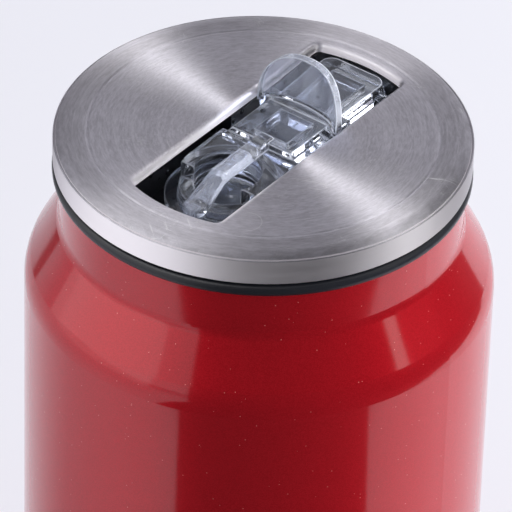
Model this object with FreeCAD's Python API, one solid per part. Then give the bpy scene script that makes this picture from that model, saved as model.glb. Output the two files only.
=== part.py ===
import FreeCAD, Part
import math
import os
from FreeCAD import Vector

# A drinks can made as a double-walled steel mug with a screwed-on lid.  The lid is a black plastic
# body under a brushed steel cap.  A clear plastic slider runs in a long slot across the cap.
# Millimetres, +Z up.  The origin is at the middle of the foot, and the slot runs along Y with its
# drinking end toward -Y.

# --- can ------------------------------------------------------------------------------------------
body_radius = 35.15
body_height = 138.0  # foot to the top of the neck
shoulder_width = 5.05  # how far the neck stands in from the wall
neck_height = 6.9  # straight part of the neck
neck_wall = 2.5
shoulder_angle = 28.5  # of the sloping shoulder, from the upright
crease_radius = 3.0  # hollow bend between neck and shoulder
shoulder_radius = 8.0  # rounded bend between shoulder and wall
heel_radius = 6.0
foot_width = 3.0
base_recess = 1.5
recess_slope = 1.0

# --- lid body -------------------------------------------------------------------------------------
rim_overhang = 0.1  # past the steel cap's band
rim_height = 1.95
rim_rounding = 0.9
rim_gap = 0.5  # dark gap between the rim and the steel cap
plug_gap = 0.3  # between the plug and the neck, at its side and under it
plug_wall = 2.1  # between the plug's side and the well
plug_floor = 2.1  # under the well
core_gap = 0.15  # between the lid body and the cap
well_side_gap = 1.7
well_end_gap = 0.4  # past the slider's travel, at both ends of the hollow
well_floor_gap = 1.75
hollow_corner = 3.0
channel_side_gap = 0.35
channel_floor_gap = 0.3

# --- steel cap ------------------------------------------------------------------------------------
cap_overhang = 0.9  # past the neck
sheet = 0.5
band_height = 4.05  # lip to lower edge
crown_rise = 0.8  # flat top above the lip
disc_margin = 5.0  # from the band in to the fine groove round the inner disc
disc_drop = 0.05
groove_depth = 0.12
groove_width = 0.3
round_width = 2.5  # from the band in to where the flat top starts
round_drop = 0.72
lip_step = 0.4  # how far the band stands out past the rounded edge
lip_notch = 0.14
edge_break = 0.12

# --- slot in the cap ------------------------------------------------------------------------------
slot_x = 0.5
slot_y = 0.6
slot_half_width = 7.8
slot_margin = 7.3  # from the band in to the slot's curved ends
slot_corner = 1.0
flange_width = 1.15
flange_depth = 1.4  # of the turned-down edge, from the flat top
flange_rounding = 1.05

# --- slider ---------------------------------------------------------------------------------------
slide_far = 1.0  # travel away from the drinking end
slot_end_gap = 0.6  # left between block and slot at the end of that travel
plate_side_gap = 0.6  # between the slider and the slot
plate_depth = 0.95  # top of the plate round the cup below the lip
plate_thickness = 1.5
side_lean = 1.85  # how far each sloping side of the block spreads
far_side_lean = 1.05  # the same behind the tab
side_depth = 2.3  # foot of the sloping sides below the lip
block_to_cup = 7.9
block_corner = 1.8
block_depth = 0.0  # top of the block below the lip
block_height = 3.7
block_wall = 2.3  # side walls round the hollows in its underside
block_roof = 1.1
cross_wall_margin = 0.3  # past the tab's foot
cup_height = 5.9
cup_wall = 2.3
cup_floor = 1.0
cup_rounding = 0.35
collar_width = 2.1
collar_thickness = 1.0
collar_lift = 0.9  # above the cup's lower end
front_depth = 3.6  # top of the cup's near side below the lip
front_step_gap = 0.3  # from the rib's bend to that lower part

# --- thumb tab and rib of the slider --------------------------------------------------------------
tab_side_gap = 0.5  # between the tab and the slot
tab_height = 8.8
tab_base_depth = 0.6  # foot of the tab below the lip
tab_wall = 1.2
tab_curve_radius = 13.4
tab_roundness = 2.7
foot_length = 3.0
foot_behind_tab = 0.2
foot_rise = 0.25  # top of the foot above the block
rib_half_width = 1.4
rib_nose_half_width = 1.75
rib_nose_rounding = 0.5  # round the top of the nose
rib_thickness = 1.6
rib_overlap = 1.5  # on the block
rib_bend_past_cup = 2.2  # from the cup's middle
rib_past_cup = 2.3  # from the cup's outside
rib_setback = 4.4  # from the slot's end
rib_fall = 2.7
rib_rise = 0.3  # above the block

# --- worked out from the values above -------------------------------------------------------------
neck_radius = body_radius - shoulder_width
socket_radius = neck_radius - neck_wall
plug_radius = socket_radius - plug_gap
cap_radius = neck_radius + cap_overhang
rim_radius = cap_radius + rim_overhang
core_radius = cap_radius - sheet - core_gap
disc_radius = cap_radius - disc_margin
flat_radius = cap_radius - round_width
slot_reach = cap_radius - slot_margin

rim_top = body_height + rim_height
cap_bottom = rim_top + rim_gap
lip = cap_bottom + band_height
cap_top = lip + crown_rise
disc_top = cap_top - disc_drop
flange_bottom = cap_top - flange_depth
block_top = lip - block_depth
block_bottom = block_top - block_height
plate_top = lip - plate_depth
plate_bottom = plate_top - plate_thickness
cup_bottom = plate_top - cup_height
channel_floor = block_bottom - channel_floor_gap
well_floor = cup_bottom - well_floor_gap
plug_bottom = well_floor - plug_floor

plate_half_width = slot_half_width - plate_side_gap
block_half_width = plate_half_width - side_lean
side_foot = lip - side_depth
tab_half_width = slot_half_width - tab_side_gap
cup_bore = plate_half_width - cup_wall
collar_radius = plate_half_width + collar_width
well_half_width = collar_radius + well_side_gap

rib_end = rib_setback - slot_reach
cup_centre = rib_end + rib_past_cup + plate_half_width
rib_bend = cup_centre - rib_bend_past_cup
front_step = rib_bend - front_step_gap
block_near = cup_centre + block_to_cup
block_end = slot_reach - slot_end_gap - slide_far
rib_start = block_near + rib_overlap
tab_back = (block_near + block_end) / 2
foot_far = tab_back + foot_behind_tab
foot_near = foot_far - foot_length
channel_end = block_end + slide_far + well_end_gap
well_far = cup_centre + collar_radius + slide_far + well_end_gap
well_near = plug_radius - plug_wall


def box(x0, x1, y0, y1, z0, z1):
    return Part.makeBox(x1 - x0, y1 - y0, z1 - z0, Vector(x0, y0, z0))


def cylinder(radius, z0, z1, x=0.0, y=0.0):
    return Part.makeCylinder(radius, z1 - z0, Vector(x, y, z0))


def revolve(edges):
    """Turn a closed outline in the XZ plane once around the Z axis."""
    face = Part.Face(Part.Wire(edges))
    return face.revolve(Vector(0, 0, 0), Vector(0, 0, 1), 360)


def arc(start, middle, end):
    points = [Vector(r, 0, z) for r, z in (start, middle, end)]
    return Part.Arc(*points).toShape()


def line(start, end):
    return Part.makeLine(Vector(start[0], 0, start[1]), Vector(end[0], 0, end[1]))


def on_circle(centre, radius, degrees):
    turn = math.radians(degrees)
    return (centre[0] + radius * math.cos(turn), centre[1] + radius * math.sin(turn))


def upright_edges(solid):
    """The straight vertical edges of a solid."""
    found = []
    for edge in solid.Edges:
        span = edge.BoundBox
        if span.ZLength > 0.01 and span.XLength < 0.001 and span.YLength < 0.001:
            found.append(edge)
    return found


def edges_at(solid, height, reach):
    """Edges that lie level at one height, within a distance of the slot's middle."""
    found = []
    for edge in solid.Edges:
        span = edge.BoundBox
        level = span.ZLength < 0.001 and abs(span.ZMin - height) < 0.001
        middle = span.Center
        if level and math.hypot(middle.x, middle.y) < reach and span.DiagonalLength < 2.2 * reach:
            found.append(edge)
    return found


def slot_prism(grow, z0, z1):
    """The slot's plan, grown outward by an even amount, as a prism about the slot's own middle."""
    half = slot_half_width + grow
    reach = slot_reach + grow
    plan = box(-half, half, -reach - 1, reach + 1, z0, z1)
    plan = plan.common(cylinder(reach, z0, z1))
    return plan.makeFillet(slot_corner + grow, upright_edges(plan))


def can_body():
    """Painted steel can: foot, wall, shoulder and neck, with a hole for the lid's plug."""
    slope = math.radians(shoulder_angle)
    crease_z = body_height - neck_height
    crease_centre = (neck_radius + crease_radius, crease_z)
    crease_end = on_circle(crease_centre, crease_radius, 180 + shoulder_angle)
    slope_end_r = body_radius - shoulder_radius * (1 - math.cos(slope))
    slope_end_z = crease_end[1] - (slope_end_r - crease_end[0]) / math.tan(slope)
    wall_z = slope_end_z - shoulder_radius * math.sin(slope)
    wall_centre = (body_radius - shoulder_radius, wall_z)
    heel_centre = (body_radius - heel_radius, heel_radius)
    foot_out = body_radius - heel_radius
    foot_in = foot_out - foot_width
    socket_floor = plug_bottom - plug_gap
    edges = [
        line((0, base_recess), (foot_in - recess_slope, base_recess)),
        line((foot_in - recess_slope, base_recess), (foot_in, 0)),
        line((foot_in, 0), (foot_out, 0)),
        arc((foot_out, 0), on_circle(heel_centre, heel_radius, -45), (body_radius, heel_radius)),
        line((body_radius, heel_radius), (body_radius, wall_z)),
        arc(
            (body_radius, wall_z),
            on_circle(wall_centre, shoulder_radius, shoulder_angle / 2),
            (slope_end_r, slope_end_z),
        ),
        line((slope_end_r, slope_end_z), crease_end),
        arc(
            crease_end,
            on_circle(crease_centre, crease_radius, 180 + shoulder_angle / 2),
            (neck_radius, crease_z),
        ),
        line((neck_radius, crease_z), (neck_radius, body_height)),
        line((neck_radius, body_height), (socket_radius, body_height)),
        line((socket_radius, body_height), (socket_radius, socket_floor)),
        line((socket_radius, socket_floor), (0, socket_floor)),
        line((0, socket_floor), (0, base_recess)),
    ]
    return revolve(edges)


def lid_body():
    """Black plastic: the rounded rim on the neck, the plug in it and the well under the slot."""
    underside = disc_top - sheet
    rim = cylinder(rim_radius, body_height, rim_top)
    rim = rim.makeFillet(rim_rounding, [e for e in rim.Edges if e.BoundBox.ZLength < 0.001])
    core = cylinder(core_radius, body_height + rim_height / 2, lip - lip_notch - sheet)
    crown = cylinder(flat_radius - sheet, lip - lip_notch - sheet, underside)
    plug = cylinder(plug_radius, plug_bottom, body_height)
    solid = rim.fuse([core, crown, plug]).removeSplitter()
    return solid.cut(lid_hollow(underside)).removeSplitter()


def lid_hollow(top):
    """The deep well at the drinking end, joined to the channel that guides the slider."""
    over = top + 1
    well = box(-well_half_width, well_half_width, -well_near - 1, well_far, well_floor, over)
    well = well.common(cylinder(well_near, well_floor, over))
    well = well.makeFillet(hollow_corner, [e for e in upright_edges(well) if e.BoundBox.YMax < 0])
    half = plate_half_width + channel_side_gap
    channel = box(-half, half, cup_centre, channel_end, channel_floor, over)
    far_corners = [e for e in upright_edges(channel) if e.BoundBox.YMin > cup_centre + 1]
    channel = channel.makeFillet(hollow_corner, far_corners)
    pocket = slot_prism(flange_width + core_gap, flange_bottom - core_gap, over)
    hollow = well.fuse([channel, pocket])
    hollow.translate(Vector(slot_x, slot_y, 0))
    return hollow


def cap_profile():
    """Section of the steel cap, from the middle of the top out to the band's lower edge."""
    round_end = (cap_radius - lip_step, cap_top - round_drop)
    width = round_end[0] - flat_radius
    radius = (width ** 2 + round_drop ** 2) / (2 * round_drop)
    centre = (flat_radius, cap_top - radius)
    sweep = math.degrees(math.asin(width / radius))
    inner = cap_radius - sheet
    notch = (cap_radius - 0.85 * lip_step, lip - lip_notch)
    under = disc_top - sheet
    return [
        line((0, disc_top), (disc_radius - groove_width, disc_top)),
        line((disc_radius - groove_width, disc_top), (disc_radius, disc_top - groove_depth)),
        line((disc_radius, disc_top - groove_depth), (disc_radius + groove_width, cap_top)),
        line((disc_radius + groove_width, cap_top), (flat_radius, cap_top)),
        arc((flat_radius, cap_top), on_circle(centre, radius, 90 - sweep / 2), round_end),
        line(round_end, notch),
        line(notch, (cap_radius - edge_break, lip)),
        line((cap_radius - edge_break, lip), (cap_radius, lip - edge_break)),
        line((cap_radius, lip - edge_break), (cap_radius, cap_bottom + edge_break)),
        line((cap_radius, cap_bottom + edge_break), (cap_radius - edge_break, cap_bottom)),
        line((cap_radius - edge_break, cap_bottom), (inner, cap_bottom)),
        line((inner, cap_bottom), (inner, lip - lip_notch - sheet)),
        line((inner, lip - lip_notch - sheet), (flat_radius, under)),
        line((flat_radius, under), (0, under)),
        line((0, under), (0, disc_top)),
    ]


def lid_cap():
    """Brushed steel cap: flat disc, rounded edge and band, with a slot whose edge is turned down."""
    cap = revolve(cap_profile())
    flange = slot_prism(flange_width, flange_bottom, disc_top)
    flange.translate(Vector(slot_x, slot_y, 0))
    opening = slot_prism(0.0, flange_bottom - 1, disc_top + 1)
    opening.translate(Vector(slot_x, slot_y, 0))
    cap = cap.fuse(flange).removeSplitter().cut(opening)
    rolled = [e for e in edges_at(cap, disc_top, slot_reach + 1) if inside_slot_edge(e)]
    return cap.makeFillet(flange_rounding, rolled)


def inside_slot_edge(edge):
    """Whether an edge lies on the slot's outline."""
    spot = edge.valueAt((edge.FirstParameter + edge.LastParameter) / 2)
    x = abs(spot.x - slot_x)
    y = spot.y - slot_y
    reach = math.hypot(x, y)
    on_side = abs(x - slot_half_width) < 0.01
    on_end = abs(reach - slot_reach) < 0.01
    at_corner = slot_reach - slot_corner < reach < slot_reach and x > slot_half_width - slot_corner
    return on_side or on_end or at_corner


def sloped_bar(lean, near, far):
    """Bar along the slider with a level top, sloping sides and an upright foot."""
    foot = block_half_width + lean
    corners = [
        Vector(-foot, near, block_bottom), Vector(foot, near, block_bottom),
        Vector(foot, near, side_foot), Vector(block_half_width, near, block_top),
        Vector(-block_half_width, near, block_top), Vector(-foot, near, side_foot),
    ]
    section = Part.Face(Part.makePolygon(corners + corners[:1]))
    return section.extrude(Vector(0, far - near, 0))


def long_block():
    """Raised block of the slider, hollow underneath on both sides of a cross wall."""
    near_part = sloped_bar(side_lean, block_near, foot_far)
    far_part = sloped_bar(far_side_lean, foot_near, block_end)
    far_part = far_part.makeFillet(block_corner, [e for e in far_part.Edges if is_far_corner(e)])
    block = near_part.fuse(far_part).removeSplitter()
    half = block_half_width - block_wall
    roof = block_top - block_roof
    low = block_bottom - 1
    near_hollow = box(-half, half, block_near + block_wall, foot_near - cross_wall_margin, low, roof)
    far_hollow = box(-half, half, foot_far + cross_wall_margin, block_end - block_wall, low, roof)
    return block.cut([near_hollow, far_hollow])


def is_far_corner(edge):
    """Whether an edge rises at the far end of the block."""
    span = edge.BoundBox
    return span.ZLength > 0.01 and span.YMin > block_end - 0.01


def cup_front():
    """Round front of the slider: a plate that ends in a hollow stopper with a collar."""
    plate = box(-plate_half_width, plate_half_width, cup_centre, block_near, plate_bottom, plate_top)
    drum = cylinder(plate_half_width, cup_bottom, plate_top, 0, cup_centre)
    collar_bottom = cup_bottom + collar_lift
    collar = cylinder(collar_radius, collar_bottom, collar_bottom + collar_thickness, 0, cup_centre)
    bore = cylinder(cup_bore, cup_bottom + cup_floor, plate_top + 1, 0, cup_centre)
    front = plate.fuse([drum, collar]).removeSplitter().cut(bore)
    mouth = [e for e in front.Edges if e.BoundBox.ZMin > plate_top - 0.01 and is_round(e)]
    front = front.makeFillet(cup_rounding, mouth)
    reach = collar_radius + 1
    above = box(-reach, reach, cup_centre - reach, front_step, lip - front_depth, plate_top + 1)
    return front.cut(above)


def is_round(edge):
    return isinstance(edge.Curve, Part.Circle)


def thumb_tab():
    """Upright curved tab, hollow toward the drinking end, with an arched top."""
    foot = lip - tab_base_depth
    centre_y = tab_back - tab_curve_radius - tab_wall
    outer = cylinder(tab_curve_radius + tab_wall, foot, foot + tab_height, 0, centre_y)
    inner = cylinder(tab_curve_radius, foot - 1, foot + tab_height + 1, 0, centre_y)
    steps = 24
    arch = []
    for step in range(steps + 1):
        turn = math.pi * step / steps
        across = math.copysign(abs(math.cos(turn)) ** (2 / tab_roundness), math.cos(turn))
        rise = math.sin(turn) ** (2 / tab_roundness)
        arch.append(Vector(tab_half_width * across, centre_y, foot + tab_height * rise))
    curve = Part.BSplineCurve()
    curve.interpolate(arch)
    closing = Part.makeLine(arch[-1], arch[0])
    face = Part.Face(Part.Wire([curve.toShape(), closing]))
    arch_prism = face.extrude(Vector(0, tab_back - centre_y + 1, 0))
    return outer.cut(inner).common(arch_prism)


def tab_foot():
    """Step across the slider that carries the tab."""
    top = block_top + foot_rise
    foot = box(-tab_half_width, tab_half_width, foot_near, foot_far, plate_bottom, top)
    return foot.makeFillet(foot_rise, [e for e in foot.Edges if e.BoundBox.ZMin > top - 0.01])


def rib_section(y, top, half_width):
    """Rounded cross-section of the rib at one place along the slider."""
    rounding = 0.45 * rib_thickness
    side = half_width - rounding
    low = top - rib_thickness
    bend = rounding * (1 - math.sqrt(0.5))
    corners = [
        Vector(-half_width, y, low), Vector(half_width, y, low), Vector(half_width, y, top - rounding),
        Vector(side, y, top), Vector(-side, y, top), Vector(-half_width, y, top - rounding),
    ]
    right = Part.Arc(corners[2], Vector(half_width - bend, y, top - bend), corners[3]).toShape()
    left = Part.Arc(corners[4], Vector(bend - half_width, y, top - bend), corners[5]).toShape()
    return Part.Wire([
        Part.makeLine(corners[0], corners[1]), Part.makeLine(corners[1], corners[2]), right,
        Part.makeLine(corners[3], corners[4]), left, Part.makeLine(corners[5], corners[0]),
    ])


def rib():
    """Long rib from the middle block over the stopper, bending down to a rounded nose."""
    top = block_top + rib_rise
    level = Part.makeLoft(
        [rib_section(rib_start, top, rib_half_width), rib_section(rib_bend, top, rib_half_width)],
        True, True,
    )
    falling = Part.makeLoft(
        [
            rib_section(rib_bend, top, rib_half_width),
            rib_section(rib_end + rib_nose_half_width, top - rib_fall, rib_nose_half_width),
        ],
        True, True,
    )
    low = top - rib_fall - rib_thickness
    nose = cylinder(rib_nose_half_width, low, low + rib_thickness, 0, rib_end + rib_nose_half_width)
    rim = [e for e in nose.Edges if e.BoundBox.ZMin > low + rib_thickness - 0.01]
    nose = nose.makeFillet(rib_nose_rounding, rim)
    return level.fuse([falling, nose])


def slider():
    """Clear plastic slider, one moulding."""
    pieces = [cup_front(), tab_foot(), thumb_tab(), rib()]
    solid = long_block().fuse(pieces).removeSplitter()
    solid.translate(Vector(slot_x, slot_y, 0))
    return solid


def main():
    os.makedirs("parts", exist_ok=True)
    pieces = {
        "can_body": can_body(),
        "lid_body": lid_body(),
        "lid_cap": lid_cap(),
        "slider": slider(),
    }
    for name, shape in pieces.items():
        state = "valid" if shape.isValid() else "not valid"
        print(name, len(shape.Solids), "solid,", state, round(shape.Volume, 1))
        shape.Solids[0].exportStep("parts/" + name + ".step")


main()
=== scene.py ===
import bpy
import math
from mathutils import Matrix, Vector

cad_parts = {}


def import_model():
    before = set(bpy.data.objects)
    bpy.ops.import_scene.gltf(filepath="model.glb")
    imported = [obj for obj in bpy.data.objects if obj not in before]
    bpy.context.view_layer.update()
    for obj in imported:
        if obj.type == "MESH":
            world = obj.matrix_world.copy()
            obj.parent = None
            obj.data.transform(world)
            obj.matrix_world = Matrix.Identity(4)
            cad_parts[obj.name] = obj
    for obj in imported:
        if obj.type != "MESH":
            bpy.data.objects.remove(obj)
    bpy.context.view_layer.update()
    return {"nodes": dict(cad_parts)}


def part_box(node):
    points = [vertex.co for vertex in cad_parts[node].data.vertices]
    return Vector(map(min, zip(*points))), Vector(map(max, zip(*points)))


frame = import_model()

# Lengths in this file are metres unless a name or comment says millimetres; angles are degrees.
MM = 0.001

VIEW_AZIMUTH = 36.2
VIEW_ELEVATION = 35.682
VIEW_DISTANCE = 823.2 * MM
VIEW_YAW, VIEW_PITCH, VIEW_ROLL = 0.0387, -1.2383, -1.8023
SENSOR_WIDTH_MM = 36
FOCAL_LENGTH_IN_FRAMES = 5602.075 / 512

LAMP_AIM = Vector((0, 0, 0.1))
PALE = (0.855, 0.863, 0.930, 1)
OVERHEAD = (0.43, 0.425, 0.46, 1)
WHITE = (1.0, 1.0, 1.0, 1)

BAND_HEIGHT = 4.05 * MM
lip_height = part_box("lid_cap")[0].z + BAND_HEIGHT
slide_low, slide_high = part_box("slider")
slide_middle_mm = (slide_low.x + slide_high.x) / 2 / MM


# --- node helpers ---------------------------------------------------------------------------------
class Tree:
    """Short names for building a node tree."""

    def __init__(self, owner):
        owner.use_nodes = True
        self.tree = owner.node_tree
        self.tree.nodes.clear()

    def node(self, kind, **settings):
        made = self.tree.nodes.new(kind)
        for key, value in settings.items():
            setattr(made, key, value)
        return made

    def link(self, source, target):
        self.tree.links.new(source, target)

    def put(self, value, socket):
        """Link a socket, or set a plain value."""
        if isinstance(value, bpy.types.NodeSocket):
            self.link(value, socket)
        else:
            socket.default_value = value

    def math(self, operation, a, b=0.0, clamp=False):
        made = self.node("ShaderNodeMath", operation=operation, use_clamp=clamp)
        self.put(a, made.inputs[0])
        self.put(b, made.inputs[1])
        return made.outputs[0]

    def plus(self, a, b, clamp=False):
        return self.math("ADD", a, b, clamp)

    def minus(self, a, b):
        return self.math("SUBTRACT", a, b)

    def times(self, a, b):
        return self.math("MULTIPLY", a, b)

    def larger(self, a, b):
        return self.math("MAXIMUM", a, b)

    def inverse(self, share):
        return self.minus(1.0, share)

    def apart(self, a, b):
        """How far two values are from each other."""
        return self.math("ABSOLUTE", self.minus(a, b))

    def reach(self, x, y):
        """Distance from the middle in the x, y plane."""
        return self.math("SQRT", self.plus(self.times(x, x), self.times(y, y)))

    def ramp(self, value, start, end, low=0.0, high=1.0):
        """Smooth step from low at start to high at end."""
        made = self.node("ShaderNodeMapRange", interpolation_type="SMOOTHSTEP")
        for socket, given in zip(made.inputs, (value, start, end, low, high)):
            self.put(given, socket)
        return made.outputs[0]

    def mix(self, factor, a, b):
        """Colour a at factor 0, colour b at factor 1."""
        made = self.node("ShaderNodeMix", data_type="RGBA")
        factor_socket, colour_a, colour_b = made.inputs["Factor"], made.inputs[6], made.inputs[7]
        self.put(factor, factor_socket)
        self.put(a, colour_a)
        self.put(b, colour_b)
        return made.outputs[2]

    def vector(self, x, y, z):
        made = self.node("ShaderNodeCombineXYZ")
        for socket, given in zip(made.inputs, (x, y, z)):
            self.put(given, socket)
        return made.outputs[0]

    def axes(self, vector):
        """The x, y and z of a vector."""
        parts = self.node("ShaderNodeSeparateXYZ")
        self.put(vector, parts.inputs[0])
        return parts.outputs[0], parts.outputs[1], parts.outputs[2]

    def cross(self, a, b):
        made = self.node("ShaderNodeVectorMath", operation="CROSS_PRODUCT")
        self.put(a, made.inputs[0])
        self.put(b, made.inputs[1])
        return made.outputs[0]

    def dot(self, a, b):
        made = self.node("ShaderNodeVectorMath", operation="DOT_PRODUCT")
        self.put(a, made.inputs[0])
        self.put(b, made.inputs[1])
        return made.outputs["Value"]

    def place(self):
        """Position on the object, as a vector in millimetres."""
        scaled = self.node("ShaderNodeVectorMath", operation="SCALE")
        self.put(self.node("ShaderNodeTexCoord").outputs["Object"], scaled.inputs[0])
        scaled.inputs["Scale"].default_value = 1 / MM
        return scaled.outputs[0]

    def normal(self):
        return self.node("ShaderNodeNewGeometry").outputs["Normal"]

    def noise(self, vector, scale, detail, rough=0.5):
        made = self.node("ShaderNodeTexNoise")
        self.put(vector, made.inputs["Vector"])
        made.inputs["Scale"].default_value = scale
        made.inputs["Detail"].default_value = detail
        made.inputs["Roughness"].default_value = rough
        return made.outputs["Fac"]

    def cells(self, vector, scale):
        """Scattered cells: the distance from each one's middle, and three chance values of its own."""
        made = self.node("ShaderNodeTexVoronoi")
        self.put(vector, made.inputs["Vector"])
        made.inputs["Scale"].default_value = scale
        chances = self.node("ShaderNodeSeparateColor")
        self.put(made.outputs["Color"], chances.inputs[0])
        return made.outputs["Distance"], chances.outputs

    def dots(self, vector, scale, share, size):
        """Rare round dots: 1 in the middle of each, falling to 0 at its edge."""
        distance, chances = self.cells(vector, scale)
        chosen = self.math("GREATER_THAN", chances[0], 1.0 - share)
        return self.times(chosen, self.ramp(distance, size, 0.0))

    def bump(self, height, strength, distance_mm, normal=None):
        made = self.node("ShaderNodeBump")
        made.inputs["Strength"].default_value = strength
        made.inputs["Distance"].default_value = distance_mm * MM
        self.put(height, made.inputs["Height"])
        if normal is not None:
            self.link(normal, made.inputs["Normal"])
        return made.outputs[0]

    def surface(self, **inputs):
        shader = self.node("ShaderNodeBsdfPrincipled")
        for name, value in inputs.items():
            self.put(value, shader.inputs[name.replace("_", " ")])
        out = self.node("ShaderNodeOutputMaterial")
        self.link(shader.outputs[0], out.inputs["Surface"])


def new_material(name):
    material = bpy.data.materials.new(name)
    return material, Tree(material)


def dress(node_name, material):
    mesh = frame["nodes"][node_name].data
    mesh.materials.clear()
    mesh.materials.append(material)


# --- materials ------------------------------------------------------------------------------------
# Places and radii in the materials are in millimetres.
ANNULUS_START, ANNULUS_FULL = 26.0, 27.0
SCRATCHES = ((25, 1.0), (78, 2.0), (-40, 3.0))


def fine_scratches(t, x, y, degrees, seed):
    """Long hairline scratches in one direction, in a few patches only."""
    turn = math.radians(degrees)
    along = t.plus(t.times(x, math.cos(turn)), t.times(y, math.sin(turn)))
    across = t.minus(t.times(y, math.cos(turn)), t.times(x, math.sin(turn)))
    stretched = t.vector(t.times(along, 0.10), t.times(across, 0.9), seed)
    hair = t.ramp(t.apart(t.noise(stretched, scale=1.0, detail=1.0), 0.5), 0.006, 0.0)
    elsewhere = t.vector(x, y, seed + 5.0)
    patch = t.ramp(t.noise(elsewhere, scale=0.12, detail=1.0), 0.56, 0.62)
    return t.times(hair, patch)


def curled_hair(t, x, y):
    """Half a turn of fine fibre that lies on the lid."""
    middle_x, middle_y, radius = 11.6, -19.3, 2.2
    half_width, core = 0.11, 0.03
    from_x = t.minus(x, middle_x)
    from_y = t.minus(y, middle_y)
    line = t.ramp(t.apart(t.reach(from_x, from_y), radius), half_width, core)
    facing = t.plus(t.times(from_x, 0.8), t.times(from_y, 0.6))
    return t.times(line, t.ramp(facing, -0.3, 0.3))


def steel_marks(t, x, y, place):
    """Scratches, one fibre and specks of dust."""
    marks = 0.0
    for degrees, seed in SCRATCHES:
        marks = t.larger(marks, fine_scratches(t, x, y, degrees, seed))
    marks = t.larger(marks, curled_hair(t, x, y))
    return t.larger(marks, t.dots(place, scale=0.33, share=0.12, size=0.06))


def brushed_steel():
    """Steel turned in fine rings: long radial highlights, fine grooves, a few marks, and a painted
    highlight on the side band and the rolled slot edges.
    """
    disc, annulus = (0.725, 0.70, 0.755, 1), (0.67, 0.645, 0.69, 1)
    groove_dark, streak_light = (0.46, 0.445, 0.47, 1), (0.86, 0.84, 0.89, 1)
    # Lighter tone for the painted highlight on the side band and the rolled slot edges.
    painted_highlight_tone = (0.90, 0.87, 0.90, 1)

    material, t = new_material("brushed_steel")
    place = t.place()
    x, y, z = t.axes(place)
    radius = t.reach(x, y)
    across = t.math("DIVIDE", x, radius)
    along = t.math("DIVIDE", y, radius)
    depth = t.plus(radius, z)
    rings = t.vector(t.times(across, 2.2), t.times(along, 2.2), t.times(depth, 5.0))
    short_rings = t.vector(t.times(across, 14.0), t.times(along, 14.0), t.times(depth, 3.2))
    grain = t.noise(short_rings, scale=1.0, detail=6.0, rough=0.75)
    streaks = t.noise(rings, scale=0.45, detail=3.0, rough=0.6)
    broad = t.noise(rings, scale=0.25, detail=2.0)

    outer = t.ramp(radius, ANNULUS_START, ANNULUS_FULL)
    normal = t.normal()
    upward = t.dot(normal, (0, 0, 1))
    side = t.ramp(upward, 0.6, 0.3)
    rolled_edge = t.times(t.ramp(upward, 0.92, 0.6), t.inverse(outer))
    marks = t.times(steel_marks(t, x, y, place), t.inverse(side))

    tone = t.mix(outer, disc, annulus)
    tone = t.mix(t.ramp(grain, 0.3, 0.7, 0.0, 0.6), tone, groove_dark)
    tone = t.mix(t.ramp(streaks, 0.45, 0.75, 0.0, 0.3), tone, streak_light)
    # Painted highlight: the side band and the rolled slot edges, picked by which way they face, get a
    # lighter tone.
    tone = t.mix(t.larger(side, rolled_edge), tone, painted_highlight_tone)
    tone = t.mix(t.times(marks, 0.45), tone, WHITE)

    rough = t.plus(t.ramp(broad, 0.3, 0.7, 0.38, 0.44), t.ramp(grain, 0.3, 0.7, -0.05, 0.07))
    rough = t.plus(rough, t.times(outer, 0.07))
    rough = t.plus(rough, t.times(side, 0.34))
    rough = t.plus(rough, t.times(marks, 0.3))

    groove_direction = t.vector(t.times(along, -1.0), across, 0.0)
    t.surface(Base_Color=tone, Metallic=1.0, Roughness=rough, Anisotropic=1.0,
              Tangent=t.cross(normal, groove_direction), Normal=t.bump(grain, 0.5, 0.02))
    return material


def red_lacquer():
    """Clear-coated metallic red with fine flakes, and painted glints: rare flakes painted light pink.
    """
    dark_red, light_red = (0.41, 0.004, 0.010, 1), (0.52, 0.008, 0.017, 1)
    # Light pink of the painted glints on rare flakes.
    painted_glint_pink = (1.0, 0.45, 0.4, 1)

    material, t = new_material("red_lacquer")
    place = t.place()
    flake = t.cells(place, scale=9.0)[1][0]
    tone = t.mix(t.ramp(flake, 0.0, 1.0), dark_red, light_red)
    speck_distance, speck_chances = t.cells(place, scale=2.2)
    rare = t.math("GREATER_THAN", speck_chances[1], 0.965)
    small = t.math("LESS_THAN", speck_distance, 0.16)
    # Painted glints: rare small flakes get a light pink tone.
    tone = t.mix(t.times(t.times(rare, small), 0.7), tone, painted_glint_pink)
    t.surface(Base_Color=tone, Metallic=0.62, Roughness=0.42, Specular_IOR_Level=0.0,
              Normal=t.bump(flake, 0.12, 0.02), Coat_Weight=1.0, Coat_Roughness=0.1, Coat_IOR=1.58)
    return material


def black_plastic():
    """Satin black moulded plastic with a faint texture and dust, and water droplets in the well."""
    black, dust = (0.010, 0.011, 0.015, 1), (0.35, 0.36, 0.4, 1)
    well_edge, well_inside = 25.0, 24.0
    wet_roughness = 0.04

    material, t = new_material("black_plastic")
    place = t.place()
    x, y, _ = t.axes(place)
    texture = t.noise(place, scale=3.0, detail=4.0)
    tone = t.mix(t.dots(place, scale=1.4, share=0.08, size=0.12), black, dust)
    in_well = t.ramp(t.reach(x, y), well_edge, well_inside)
    drops = t.times(t.dots(place, scale=0.6, share=0.35, size=0.28), in_well)
    dry_roughness = t.ramp(texture, 0.3, 0.7, 0.28, 0.40)
    rough = t.ramp(drops, 0.0, 0.01, dry_roughness, wet_roughness)
    height = t.plus(t.times(texture, 0.05), drops)
    t.surface(Base_Color=tone, Roughness=rough, Normal=t.bump(height, 0.9, 0.5))
    return material


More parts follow.
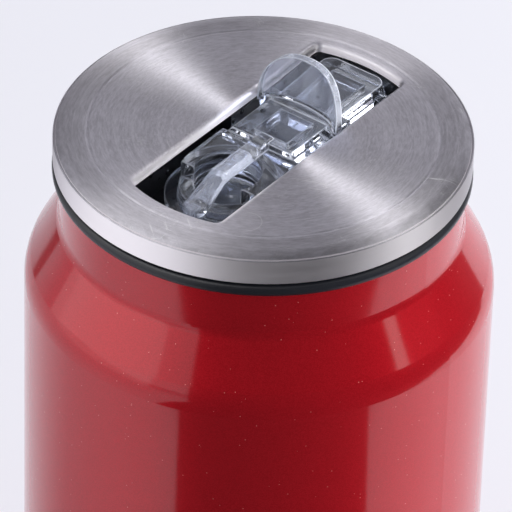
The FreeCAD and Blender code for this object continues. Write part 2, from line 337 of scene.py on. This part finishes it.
def plastic_cloud_and_highlights(t, x, y, z, flat, rounded):
    """How far the plastic is from clear: a pale milky tab as painted highlight, more cloudiness along
    the rib, soft sweeps on the tab, and painted highlights on the edges.
    """
    lip = lip_height / MM
    on_tab = t.ramp(z, lip + 0.3, lip + 1.5)
    rib_width = t.ramp(t.apart(x, slide_middle_mm), 1.95, 1.6)
    on_rib = t.times(rib_width, t.ramp(y, -2.5, -3.5))
    on_rib = t.times(on_rib, t.ramp(z, lip - 4.4, lip - 3.9))
    # Painted highlight: the tab gets a pale milky tone that stands for light on it; the rib is
    # cloudier, and the rest of the plastic a little.
    milky_tab_and_rib = t.larger(t.larger(on_tab, on_rib), 0.08)

    streak_place = t.vector(t.times(x, 1.3), t.times(y, 0.5), t.times(z, 0.2))
    streaks = t.noise(streak_place, scale=1.0, detail=4.0)
    cloud_and_highlight = t.times(t.ramp(streaks, 0.30, 0.75, 0.10, 0.34), milky_tab_and_rib)
    cloud_and_highlight = t.times(cloud_and_highlight, t.inverse(t.times(on_tab, 0.6)))

    sweep_place = t.vector(t.times(x, 0.35), 0.0, t.times(z, 0.06))
    sweep = t.noise(sweep_place, scale=1.0, detail=2.0)
    # More painted highlight on the tab, in soft sweeps.
    cloud_and_highlight = t.plus(cloud_and_highlight, t.times(on_tab, t.ramp(sweep, 0.40, 0.60, 0.0, 0.12)))

    facing_along_slot = t.math("ABSOLUTE", t.axes(flat)[1])
    # Painted highlight: the rim of the tab, the faces that don't look along the slot, gets a paler
    # tone.
    tab_rim_highlight = t.times(t.ramp(facing_along_slot, 0.8, 0.5), on_tab)
    cloud_and_highlight = t.plus(cloud_and_highlight, t.times(tab_rim_highlight, 0.10))

    # Painted highlight: edges, found where the rounded normal turns away from the flat one, get a pale
    # milky tone, more towards the top.
    edge = t.ramp(t.dot(rounded, flat), 0.995, 0.93)
    edge = t.times(edge, t.ramp(z, lip - 2.0, lip - 0.1, 0.25, 0.55))
    return t.plus(cloud_and_highlight, edge, clamp=True)


def clear_plastic():
    """Clear moulded plastic: slight cloudiness and streaks, with a pale milky tab and pale edges as
    painted highlights.
    """
    material, t = new_material("clear_plastic")
    place = t.place()
    x, y, z = t.axes(place)
    rounding = t.node("ShaderNodeBevel", samples=8)
    rounding.inputs["Radius"].default_value = 0.45 * MM
    rounded = rounding.outputs[0]
    cloud_and_highlight = plastic_cloud_and_highlights(t, x, y, z, t.normal(), rounded)
    waves = t.bump(t.noise(place, scale=0.35, detail=2.0), 0.2, 0.1, rounded)
    t.surface(Base_Color=(0.84, 0.88, 0.985, 1), Roughness=0.02, IOR=1.5,
              Transmission_Weight=t.inverse(cloud_and_highlight), Normal=waves)
    return material


# --- studio ---------------------------------------------------------------------------------------
def toward(azimuth, elevation, distance, centre):
    """A point at an azimuth right of the view, an elevation and a distance from a centre."""
    turn = math.radians(VIEW_AZIMUTH + azimuth)
    rise = math.radians(elevation)
    step = Vector((math.cos(rise) * math.sin(turn), -math.cos(rise) * math.cos(turn), math.sin(rise)))
    return Vector(centre) + distance * step


def camera():
    """Camera at the solved place: it looks at the centre of the lid, then turns a little off it."""
    target = Vector((0, 0, lip_height))
    place = toward(0, VIEW_ELEVATION, VIEW_DISTANCE, target)
    forward = (target - place).normalized()
    right = forward.cross(Vector((0, 0, 1))).normalized()
    up = right.cross(forward)
    yaw = Matrix.Rotation(math.radians(VIEW_YAW), 3, up)
    forward, right = yaw @ forward, yaw @ right
    pitch = Matrix.Rotation(math.radians(VIEW_PITCH), 3, right)
    forward, up = pitch @ forward, pitch @ up
    roll = Matrix.Rotation(math.radians(VIEW_ROLL), 3, forward)
    right, up = roll @ right, roll @ up
    data = bpy.data.cameras.new("camera")
    data.sensor_width = SENSOR_WIDTH_MM
    data.lens = FOCAL_LENGTH_IN_FRAMES * SENSOR_WIDTH_MM
    data.clip_start = 0.02
    data.clip_end = 50
    item = bpy.data.objects.new("camera", data)
    axes = Matrix((right, up, -forward)).transposed()
    item.matrix_world = Matrix.Translation(place) @ axes.to_4x4()
    bpy.context.scene.collection.objects.link(item)
    bpy.context.scene.camera = item


def world():
    """Pale low down, darker overhead; clear plastic shows the pale background all round."""
    item = bpy.data.worlds.new("world")
    bpy.context.scene.world = item
    t = Tree(item)
    height = t.axes(t.node("ShaderNodeTexCoord").outputs["Generated"])[2]
    seen_through_plastic = t.node("ShaderNodeLightPath").outputs["Is Transmission Ray"]
    overhead = t.mix(seen_through_plastic, OVERHEAD, PALE)
    back = t.node("ShaderNodeBackground")
    t.put(t.mix(t.ramp(height, 0.15, 0.55), PALE, overhead), back.inputs["Color"])
    out = t.node("ShaderNodeOutputWorld")
    t.link(back.outputs[0], out.inputs["Surface"])


def stage_mesh(name, corners, faces, material):
    mesh = bpy.data.meshes.new(name)
    mesh.from_pydata([tuple(c) for c in corners], [], faces)
    mesh.materials.append(material)
    item = bpy.data.objects.new(name, mesh)
    bpy.context.scene.collection.objects.link(item)
    return item


def floor():
    """Wide pale floor, a tenth of a millimetre under the foot."""
    reach, low = 12, -0.1 * MM
    material, t = new_material("floor")
    shade = t.ramp(t.noise(t.place(), scale=0.004, detail=2.0), 0.3, 0.7)
    tone = t.mix(shade, (0.875, 0.88, 0.925, 1), (0.885, 0.89, 0.935, 1))
    t.surface(Base_Color=tone, Roughness=0.9, Specular_IOR_Level=0.1)
    corners = [(-reach, -reach, low), (reach, -reach, low), (reach, reach, low), (-reach, reach, low)]
    stage_mesh("floor", corners, [(0, 1, 2, 3)], material)


def dark_card(name, tone, rings):
    """Dark card seen in reflections only.

    Each ring is a distance, a height and the azimuths it spans.
    """
    steps = 24
    material, t = new_material(name)
    glow = t.node("ShaderNodeEmission")
    glow.inputs["Color"].default_value = (tone, tone, tone * 1.05, 1)
    out = t.node("ShaderNodeOutputMaterial")
    t.link(glow.outputs[0], out.inputs["Surface"])
    corners = []
    for distance, height, start, end in rings:
        for step in range(steps + 1):
            angle = start + (end - start) * step / steps
            corners.append(toward(angle, 0, distance, (0, 0, height)))
    faces = []
    for ring in range(len(rings) - 1):
        for step in range(steps):
            a = ring * (steps + 1) + step
            b = a + steps + 1
            faces.append((a, a + 1, b + 1, b))
    item = stage_mesh(name, corners, faces, material)
    item.visible_camera = False
    item.visible_diffuse = False
    item.visible_shadow = False
    item.visible_transmission = False


def panel(name, azimuth, elevation, distance, width, height, watts, lights_what):
    """A soft rectangular lamp that faces the lid and lights everything, or only gloss or diffuse."""
    data = bpy.data.lights.new(name, "AREA")
    data.shape = "RECTANGLE"
    data.size = width
    data.size_y = height
    data.energy = watts
    item = bpy.data.objects.new(name, data)
    place = toward(azimuth, elevation, distance, LAMP_AIM)
    facing = (LAMP_AIM - place).to_track_quat("-Z", "Y")
    item.matrix_world = Matrix.Translation(place) @ facing.to_matrix().to_4x4()
    item.visible_camera = False
    item.visible_diffuse = lights_what != "gloss"
    item.visible_glossy = lights_what != "diffuse"
    bpy.context.scene.collection.objects.link(item)


def lights():
    """Lamps: azimuth, elevation, distance, width, height, watts and what they light; then the cards."""
    panel("left_panel", -78, 14, 0.9, 1.1, 0.9, 1.8, "all")
    panel("left_top_panel", -54, 50, 1.0, 1.6, 0.5, 4.8, "gloss")
    panel("band_panel", 83, 32, 1.0, 0.22, 0.3, 2.6, "gloss")
    panel("key_panel", 106, 48, 1.0, 0.6, 0.46, 3.3, "all")
    panel("right_flood", 84, 9, 2.0, 1.1, 0.7, 52.0, "diffuse")
    panel("right_window", 68, 13, 0.45, 0.05, 0.10, 0.025, "all")
    dark_card("front_card", 0.045, [
        (0.06, 0.002, -34, 52), (0.18, 0.002, -34, 52), (0.215, 0.002, -45, 70),
        (0.5, 0.002, -29, 128), (0.5, 0.75, -29, 128)])
    dark_card("rear_left_card", 0.07, [(0.5, 0.002, -165, -126), (0.5, 0.3, -165, -126)])


def main():
    bpy.context.scene.view_settings.view_transform = "Standard"
    dress("can_body", red_lacquer())
    dress("lid_body", black_plastic())
    dress("lid_cap", brushed_steel())
    dress("slider", clear_plastic())
    world()
    floor()
    lights()
    camera()


main()
